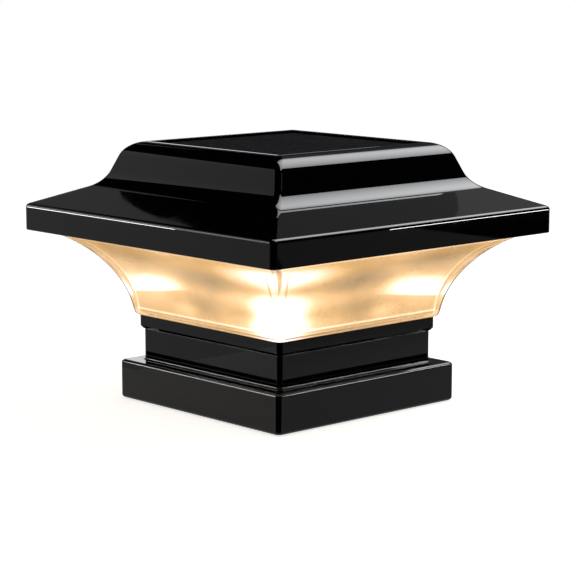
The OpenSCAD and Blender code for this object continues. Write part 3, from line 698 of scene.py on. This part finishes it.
def socket_ribs():
    """Two upright ribs on each wall of the socket, which centre it on the post's sleeve."""
    ribs = bmesh.new()
    near, far = SOCKET_HALF - RIB_H, SOCKET_HALF + SKIRT_WALL / 2
    for side in range(4):
        for x in (-RIB_X, RIB_X):
            ends = [(x - RIB_T / 2, near), (x + RIB_T / 2, far)]
            for _ in range(side):
                ends = [(-y, x) for x, y in ends]
            xs, ys = (sorted(axis) for axis in zip(*ends))
            add_block(ribs, (xs[0], ys[0], RIB_Z), (xs[1], ys[1], SKIRT_H - STEP_T + OVERLAP))
    return ribs


def make_base():
    bm = bmesh.new()
    add_loft(bm, rounded(base_profile(), True, 9), True)
    base = piece("base", bm, "base", [GLOSS], "base_sleeve")
    apply_boolean(base, socket_ribs(), "UNION")
    screws = [(i * POST_SCREWS[0], j * POST_SCREWS[1]) for i in (-1, 1) for j in (-1, 1)]
    cut_holes(base, screws, POST_SCREW_R, SHELF_Z - SHELF_T - OVERLAP, SHELF_Z + OVERLAP)


make_base()


# ---- lens ----

ARC_STEPS = 18
FOOT_STEPS = 8


def lens_arc(z0, z1, offset):
    """Points of the lens's wall between two heights, offset inwards."""
    centre, radius = lens_circle()
    r = radius + offset
    ends = [math.pi - math.asin((z - centre[1]) / r) for z in (z0, z1)]
    angles = [between(ends, k, ARC_STEPS) for k in range(ARC_STEPS + 1)]
    return [(centre[0] + r * math.cos(a), centre[1] + r * math.sin(a)) for a in angles]


def foot_arc():
    """Points of the rounded lower edge of the lens, from its flat underside to its leaning wall."""
    start = math.radians(270)
    ends = (start, start + math.pi / 2 - math.radians(LENS_LEAN))
    angles = [between(ends, k, FOOT_STEPS) for k in range(FOOT_STEPS + 1)]
    centre = (LENS_FOOT_HALF - LENS_FOOT_R, LENS_Z + LENS_GAP + LENS_FOOT_R)
    return [(centre[0] + LENS_FOOT_R * math.cos(a), centre[1] + LENS_FOOT_R * math.sin(a)) for a in angles]


def make_lens():
    plan, inside = 2.5, 1.0
    flange_z = LENS_Z + LENS_FLANGE_T
    rim_z = BRIM_Z - LENS_GAP
    # under the brim the wall steps in, to the part that stands in the roof
    step_h = 0.1
    outer = lens_arc(LENS_Z + LENS_FOOT_R * 1.5, rim_z, 0)
    inner = lens_arc(flange_z, LENS_TOP_Z, LENS_WALL)
    foot_in = inner[0][0] - LENS_FOOT_IN
    points = [(foot_in, LENS_Z + LENS_GAP, inside)]
    points += [(half, z, plan) for half, z in foot_arc() + outer]
    points += [(LENS_TOP_HALF, rim_z + step_h, plan), (LENS_TOP_HALF, LENS_TOP_Z, plan)]
    first_inner = len(points)
    points += [(half, z, inside) for half, z in reversed(inner)]
    points += [(foot_in, flange_z, inside)]
    materials = [GLASS, GLOW, GLASS_EDGE]

    def material_at(i, on_edge):
        if first_inner <= i < len(points) - 1:
            return materials.index(GLOW)
        return materials.index(GLASS_EDGE if on_edge and i < first_inner else GLASS)

    bm = bmesh.new()
    add_loft(bm, points, True, material_at)
    piece("lens_shell", bm, "head", materials, "lens")


make_lens()


# ---- panel ----

def make_panel():
    plan = 1.0
    # flat faces close the panel within this half-width
    middle = 10
    corners = [
        (middle, PANEL_TOP_Z, 0, plan),
        (PANEL_HALF, PANEL_TOP_Z, 0.4, plan),
        (PANEL_HALF, PANEL_Z, 0.2, plan),
        (middle, PANEL_Z, 0, plan),
    ]
    bm = bmesh.new()
    add_loft(bm, rounded(corners, False, 20), False)
    piece("panel_top", bm, "head", [PANEL], "panel_cover")


make_panel()


# ---- CAD nodes that keep their shape ----

# each node's material, and the width of its rounded edges in millimetres, or 0 for none
FINISHES = {
    "collar_tray": (GLOSS, 0.5),
    "lens_gasket": (RUBBER, 0.1),
    "rim_gasket": (RUBBER, 0.1),
    "ceiling_plate": (WHITE, 0.3),
    "panel_pad": (RUBBER, 0.1),
    "panel_board": (BOARD, 0.1),
    "solar_cells": (SOLAR, 0),
    "light_tower": (WHITE, 0.3),
    "led_boards": (LAMP_BOARD, 0.1),
    "leds": (LAMP, 0.1),
    "control_board": (BOARD, 0.1),
    "board_parts": (ELECTRONIC, 0.2),
    "board_screws": (STEEL, 0.1),
    "battery_holder": (WHITE, 0.3),
    "battery_cell": (BATTERY, 0.3),
    "spring_contact": (STEEL, 0),
    "plate_contact": (STEEL, 0.05),
    "holder_screws": (STEEL, 0.1),
    "switch_body": (ELECTRONIC, 0.15),
    "roof_screws": (STEEL, 0.15),
    "tower_screws": (STEEL, 0.15),
    "tray_screws": (STEEL, 0.15),
    "hinge_pin": (STEEL, 0.1),
    "panel_wires": (WIRE_RED, 0),
    "led_wires": (WIRE_YELLOW, 0),
    "battery_wires": (WIRE_RED, 0),
    "battery_door": (INNER_BLACK, 0.3),
    "door_seal": (RUBBER, 0.1),
    "switch_knob": (WHITE, 0.2),
}

WELD_DISTANCE = 0.002
FLAT_ANGLE = 0.5
SHARP_ANGLE = 35


def round_edges(obj, width):
    """Rounds the sharp edges of a CAD node, once its triangles are joined into flat faces."""
    weld = obj.modifiers.new("weld", "WELD")
    weld.merge_threshold = WELD_DISTANCE * MM
    flat = obj.modifiers.new("flat", "DECIMATE")
    flat.decimate_type = "DISSOLVE"
    flat.angle_limit = math.radians(FLAT_ANGLE)
    edges = obj.modifiers.new("edges", "BEVEL")
    edges.width = width * MM
    edges.segments = 2
    edges.limit_method = "ANGLE"
    edges.angle_limit = math.radians(SHARP_ANGLE)
    edges.use_clamp_overlap = True
    even_normals(obj)


def dress(node, material, edge_width):
    """Gives a CAD node a material, and rounded edges if they have a width."""
    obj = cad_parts[node]
    obj.data.materials.clear()
    obj.data.materials.append(material)
    if edge_width:
        round_edges(obj, edge_width)


def chamfer_collar_foot():
    """Cuts the lower outer edge of the collar back, before all the tray's edges are rounded."""
    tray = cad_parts["collar_tray"]
    beyond_neck = (NECK_HALF + COLLAR_STEP / 2) * MM
    near = 0.01 * MM
    foot = [v.index for v in tray.data.vertices
            if max(abs(v.co.x), abs(v.co.y)) > beyond_neck and abs(v.co.z - NECK_Z * MM) < near]
    group = tray.vertex_groups.new(name="collar_foot")
    group.add(foot, 1.0, "REPLACE")
    edges = tray.modifiers.new("collar_foot", "BEVEL")
    edges.width = COLLAR_CHAMFER * MM
    edges.segments = 1
    edges.limit_method = "VGROUP"
    edges.vertex_group = group.name
    tray.modifiers.move(len(tray.modifiers) - 1, tray.modifiers.find("edges"))


for node, (material, edge_width) in FINISHES.items():
    dress(node, material, edge_width)
chamfer_collar_foot()


# ---- studio: a white world and a pale floor ----

WORLD_LIGHT = 0.4
FLOOR_Z = -0.0002
FLOOR_HALF = 6
FLOOR_GREY = (0.8, 0.8, 0.8, 1)
FLOOR_GLOW = 0.7


def seen_directly(nodes):
    """1 for camera, glossy and transmission rays, 0 for the rays that only light things."""
    rays = nodes.new("ShaderNodeLightPath").outputs
    kinds = ("Is Camera Ray", "Is Glossy Ray", "Is Transmission Ray")
    camera, glossy, through = (Value(nodes, rays[kind]) for kind in kinds)
    return camera.most(glossy).most(through)


def mixed_shader(tree, factor, first, second):
    """Shader that is the first where the factor is 0 and the second where it is 1."""
    mix = tree.nodes.new("ShaderNodeMixShader")
    for i, socket in enumerate((factor, first, second)):
        tree.links.new(socket, mix.inputs[i])
    return mix.outputs[0]


def make_world():
    """White where it is seen, and dimmer where it only lights things."""
    world = bpy.data.worlds.new("studio")
    bpy.context.scene.world = world
    world.use_nodes = True
    tree = world.node_tree
    tree.nodes.clear()
    seen, lighting = (tree.nodes.new("ShaderNodeBackground") for _ in range(2))
    for background, strength in ((seen, 1.0), (lighting, WORLD_LIGHT)):
        background.inputs["Color"].default_value = (1, 1, 1, 1)
        background.inputs["Strength"].default_value = strength
    factor = seen_directly(tree.nodes).socket
    out = tree.nodes.new("ShaderNodeOutputWorld")
    tree.links.new(mixed_shader(tree, factor, lighting.outputs[0], seen.outputs[0]), out.inputs[0])


def floor_material():
    """Pale floor that also glows where it is seen. From below it is clear, so the object shows."""
    material = bpy.data.materials.new("floor")
    material.use_nodes = True
    tree = material.node_tree
    tree.nodes.clear()
    diffuse = tree.nodes.new("ShaderNodeBsdfDiffuse")
    diffuse.inputs["Color"].default_value = FLOOR_GREY
    emission = tree.nodes.new("ShaderNodeEmission")
    tree.links.new((seen_directly(tree.nodes) * FLOOR_GLOW).socket, emission.inputs["Strength"])
    add = tree.nodes.new("ShaderNodeAddShader")
    tree.links.new(diffuse.outputs[0], add.inputs[0])
    tree.links.new(emission.outputs[0], add.inputs[1])
    from_below = tree.nodes.new("ShaderNodeNewGeometry").outputs["Backfacing"]
    clear = tree.nodes.new("ShaderNodeBsdfTransparent").outputs[0]
    out = tree.nodes.new("ShaderNodeOutputMaterial")
    tree.links.new(mixed_shader(tree, from_below, add.outputs[0], clear), out.inputs[0])
    return material


def make_floor():
    bm = bmesh.new()
    bmesh.ops.create_grid(bm, x_segments=1, y_segments=1, size=FLOOR_HALF)
    floor = new_object("floor", bm)
    floor.location = (0, 0, FLOOR_Z)
    floor.data.materials.append(floor_material())


make_world()
make_floor()


# ---- studio: cards that the glossy black mirrors, in metres and degrees ----

CARD_TINT = (0.965, 0.975, 1.0)
CARD_STEP = 4.0
CARD_CENTRE_Z = 0.11
CARD_REACH = 2.0
# cards on the floor lie in three layers, and a higher one hides what is under it
LOW_CARD_Z = 0.0003
MIDDLE_CARD_Z = LOW_CARD_Z * 2
TOP_CARD_Z = LOW_CARD_Z * 3
BASE_HALF = SKIRT_HALF * MM


def card(name, bm, strength, through=False):
    """Makes a glowing or black card that only reflections show, and views through the lens if wanted.

    Its strength is a number, or a function that makes a Value of the card's surface."""
    obj = new_object(name, bm)
    surface = Surface(name, (0, 0, 0), 1.0, Specular_IOR_Level=0.0)
    surface.shader.inputs["Emission Color"].default_value = (*CARD_TINT, 1)
    if callable(strength):
        surface.drive("Emission Strength", strength(surface))
    else:
        surface.shader.inputs["Emission Strength"].default_value = strength
    obj.data.materials.append(surface.material)
    obj.visible_camera = False
    obj.visible_diffuse = False
    obj.visible_shadow = False
    obj.visible_transmission = through


def on_sky(azimuth, elevation, distance):
    """Point at a distance from the cards' centre."""
    az, el = math.radians(azimuth), math.radians(elevation)
    level = distance * math.cos(el)
    return level * math.cos(az), level * math.sin(az), CARD_CENTRE_Z + distance * math.sin(el)


def sky_card(name, azimuths, elevations, strength, distance=CARD_REACH, through=False):
    """A card bent round the object, between two azimuths and two elevations."""
    columns = max(1, math.ceil((azimuths[1] - azimuths[0]) / CARD_STEP))
    rows = max(1, math.ceil((elevations[1] - elevations[0]) / CARD_STEP))
    bm = bmesh.new()

    def corner(i, j):
        azimuth = between(azimuths, i, columns)
        return bm.verts.new(on_sky(azimuth, between(elevations, j, rows), distance))

    grid = [[corner(i, j) for j in range(rows + 1)] for i in range(columns + 1)]
    for i in range(columns):
        for j in range(rows):
            bm.faces.new((grid[i][j], grid[i + 1][j], grid[i + 1][j + 1], grid[i][j + 1]))
    card(name, bm, strength, through)


def flat_card(name, corners, strength, through=False):
    """A card with one flat face."""
    bm = bmesh.new()
    bm.faces.new([bm.verts.new(corner) for corner in corners])
    card(name, bm, strength, through)


def sky_patch(name, outline, strength):
    """A small card on the same sphere, with its outline in azimuths and elevations."""
    flat_card(name, [on_sky(azimuth, elevation, CARD_REACH) for azimuth, elevation in outline], strength)


def level_card(name, outline, z, strength, through=False):
    """A level card with its outline in x and y."""
    flat_card(name, [(x, y, z) for x, y in outline], strength, through)


def upright_card(name, start, end, heights, strength):
    """An upright card over a line from start to end."""
    bottom, top = heights
    flat_card(name, [(*start, bottom), (*end, bottom), (*end, top), (*start, top)], strength)


def rectangle(xs, ys):
    """Outline between two places along x and two along y."""
    return [(xs[0], ys[0]), (xs[1], ys[0]), (xs[1], ys[1]), (xs[0], ys[1])]


def hang_sky_cards():
    """A dark room with a white side, small bright boxes and dim grey walls at the back."""
    sky_card("dark_room", (0, 360), (-2, 88), 0.0, 2.2, through=True)
    # the roof's steep side on the left mirrors the white side
    sky_card("white_side", (104, 142), (17, 33.3), 0.95)
    # rounded edges mirror these as thin bright lines
    sky_card("left_box", (120, 142), (0, 6), 9.0)
    sky_card("left_box_top", (120, 142), (12, 17), 16.0)
    sky_card("edge_strip", (-64, -52), (19, 34), 2.0)
    # behind the object, for the level rim round the panel and the roof's slopes
    sky_card("back_horizon", (40, 78), (-2, 4), 0.6)
    sky_card("rim_strip", (48, 66), (8, 12.5), 2.2, 1.95)
    sky_card("rim_strip_end", (43, 48), (8, 12.5), 0.7, 1.95)
    sky_card("back_low", (46, 78), (4, 23), 0.17)
    # the curved end of the grey on the left slope
    left_end = [(66.4, 33.6), (66.6, 32.9), (67.0, 32.3), (67.4, 31.9), (67.8, 31.3),
                (68.0, 30.9), (68.1, 30.6), (68.2, 30.3), (68.1, 29.9)]
    sky_patch("back_left", [(80, 23), (80, 33.6), *left_end, (68.0, 23)], 0.24)
    sky_card("back_low_right", (26.4, 46), (4, 30), 0.07)
    sky_card("back_right", (25, 42), (30, 41), 0.22, 2.05)
    # the curved end of the grey on the right slope
    right_end = [(27.5, 33.0), (26.6, 33.1), (26.1, 33.3), (25.7, 33.6), (25.6, 34.2), (25.9, 36)]
    sky_patch("back_end", [(14, 8), (27.5, 8), *right_end, (14, 36)], 0.45)


def hang_softbox():
    """A large level box on the right, brightest in the middle and fading towards its back edge."""

    def fading(surface):
        away = surface.axes()[1] * MM + 0.3
        return (1 - away * away) * 14

    level_card("softbox", rectangle((0.15, 1.9), (-0.80, 0.595)), 1.31, fading)


def stand_strips():
    """Two low strips that only the base's rounded edges mirror."""
    upright_card("left_strip", (-0.17, 0.075), (-0.17, 0.21), (0.0755, 0.0895), 80.0)
    upright_card("right_strip", (0.063, -0.17), (0.19, -0.17), (0.077, 0.0895), 120.0)


def lay_floor_cards():
    """The floor as the upright sides mirror it: dark in front and at the back, lighter on both sides."""
    # two dark lines for the neck's foot
    level_card("left_floor_line", rectangle((-0.1183, -0.1115), (-0.1, 0.3)), TOP_CARD_Z, 0.0)
    level_card("right_floor_line", rectangle((-0.1, 0.3), (-0.1257, -0.117)), TOP_CARD_Z, 0.0)

    def brighter_at_base(surface):
        return (surface.axes()[1] * MM).ramp(-0.23, -0.12, 0.42, 0.82)

    near_right = [(-BASE_HALF, -0.057), (0.3, -0.057), (0.3, -0.23), (0.08, -0.23)]
    level_card("near_right_floor", near_right, MIDDLE_CARD_Z, brighter_at_base)
    # a sector round the front, from the base's front corner
    front = [(-BASE_HALF, -BASE_HALF)]
    for azimuth in range(140, 309, 12):
        a = math.radians(azimuth)
        front.append((CARD_REACH * math.cos(a) - BASE_HALF, CARD_REACH * math.sin(a) - BASE_HALF))
    level_card("front_floor", front, LOW_CARD_Z, 0.0, True)
    level_card("left_floor", rectangle((-CARD_REACH, -0.1), (0.1, CARD_REACH)), LOW_CARD_Z, 0.8)
    back = [(-0.05, 0.058), (0.058, 0.058), (0.058, -0.05),
            (CARD_REACH, -0.05), (CARD_REACH, CARD_REACH), (-0.05, CARD_REACH)]
    level_card("back_floor", back, LOW_CARD_Z, 0.0)
    level_card("right_floor", rectangle((0.12, 0.49), (-0.23, -1.0)), LOW_CARD_Z, 0.4)
    level_card("right_far_floor", rectangle((0.49, CARD_REACH), (-0.23, -CARD_REACH)), LOW_CARD_Z, 0.0)


hang_sky_cards()
hang_softbox()
stand_strips()
lay_floor_cards()


# ---- lamp, and the camera that was fitted to the photo's corners ----

LAMP_PLACE = Vector((0.55, -0.12, 0.62))
LAMP_TARGET = Vector((0, 0, 0.1))
LAMP_SIZE = (0.5, 0.75)
LAMP_POWER = 2

AZIMUTH = math.radians(-42.504)
ELEVATION = math.radians(9.219)
DISTANCE = 0.9703
TARGET_Z = 0.05308
TARGET_RIGHT = 0.000736
FOCAL_PX = 2059.8
FRAME_PX = 576


def make_lamp():
    """Broad soft light on the right, above the brim, that no reflection shows."""
    data = bpy.data.lights.new("softbox_lamp", "AREA")
    data.shape = "RECTANGLE"
    data.size, data.size_y = LAMP_SIZE
    data.energy = LAMP_POWER
    lamp = bpy.data.objects.new("softbox_lamp", data)
    lamp.location = LAMP_PLACE
    lamp.rotation_euler = (LAMP_TARGET - LAMP_PLACE).to_track_quat("-Z", "Y").to_euler()
    lamp.visible_glossy = False
    bpy.context.scene.collection.objects.link(lamp)


def make_camera():
    """Takes the view of the photo."""
    data = bpy.data.cameras.new("camera")
    data.sensor_width = 36
    data.lens = FOCAL_PX / FRAME_PX * data.sensor_width
    camera = bpy.data.objects.new("camera", data)
    level = math.cos(ELEVATION)
    back = Vector((math.sin(AZIMUTH) * level, -math.cos(AZIMUTH) * level, math.sin(ELEVATION)))
    target = Vector((math.cos(AZIMUTH) * TARGET_RIGHT, math.sin(AZIMUTH) * TARGET_RIGHT, TARGET_Z))
    camera.location = target + back * DISTANCE
    camera.rotation_mode = "QUATERNION"
    camera.rotation_quaternion = (-back).to_track_quat("-Z", "Y")
    bpy.context.scene.collection.objects.link(camera)
    bpy.context.scene.camera = camera


make_lamp()
make_camera()
bpy.context.scene.view_settings.view_transform = "Standard"
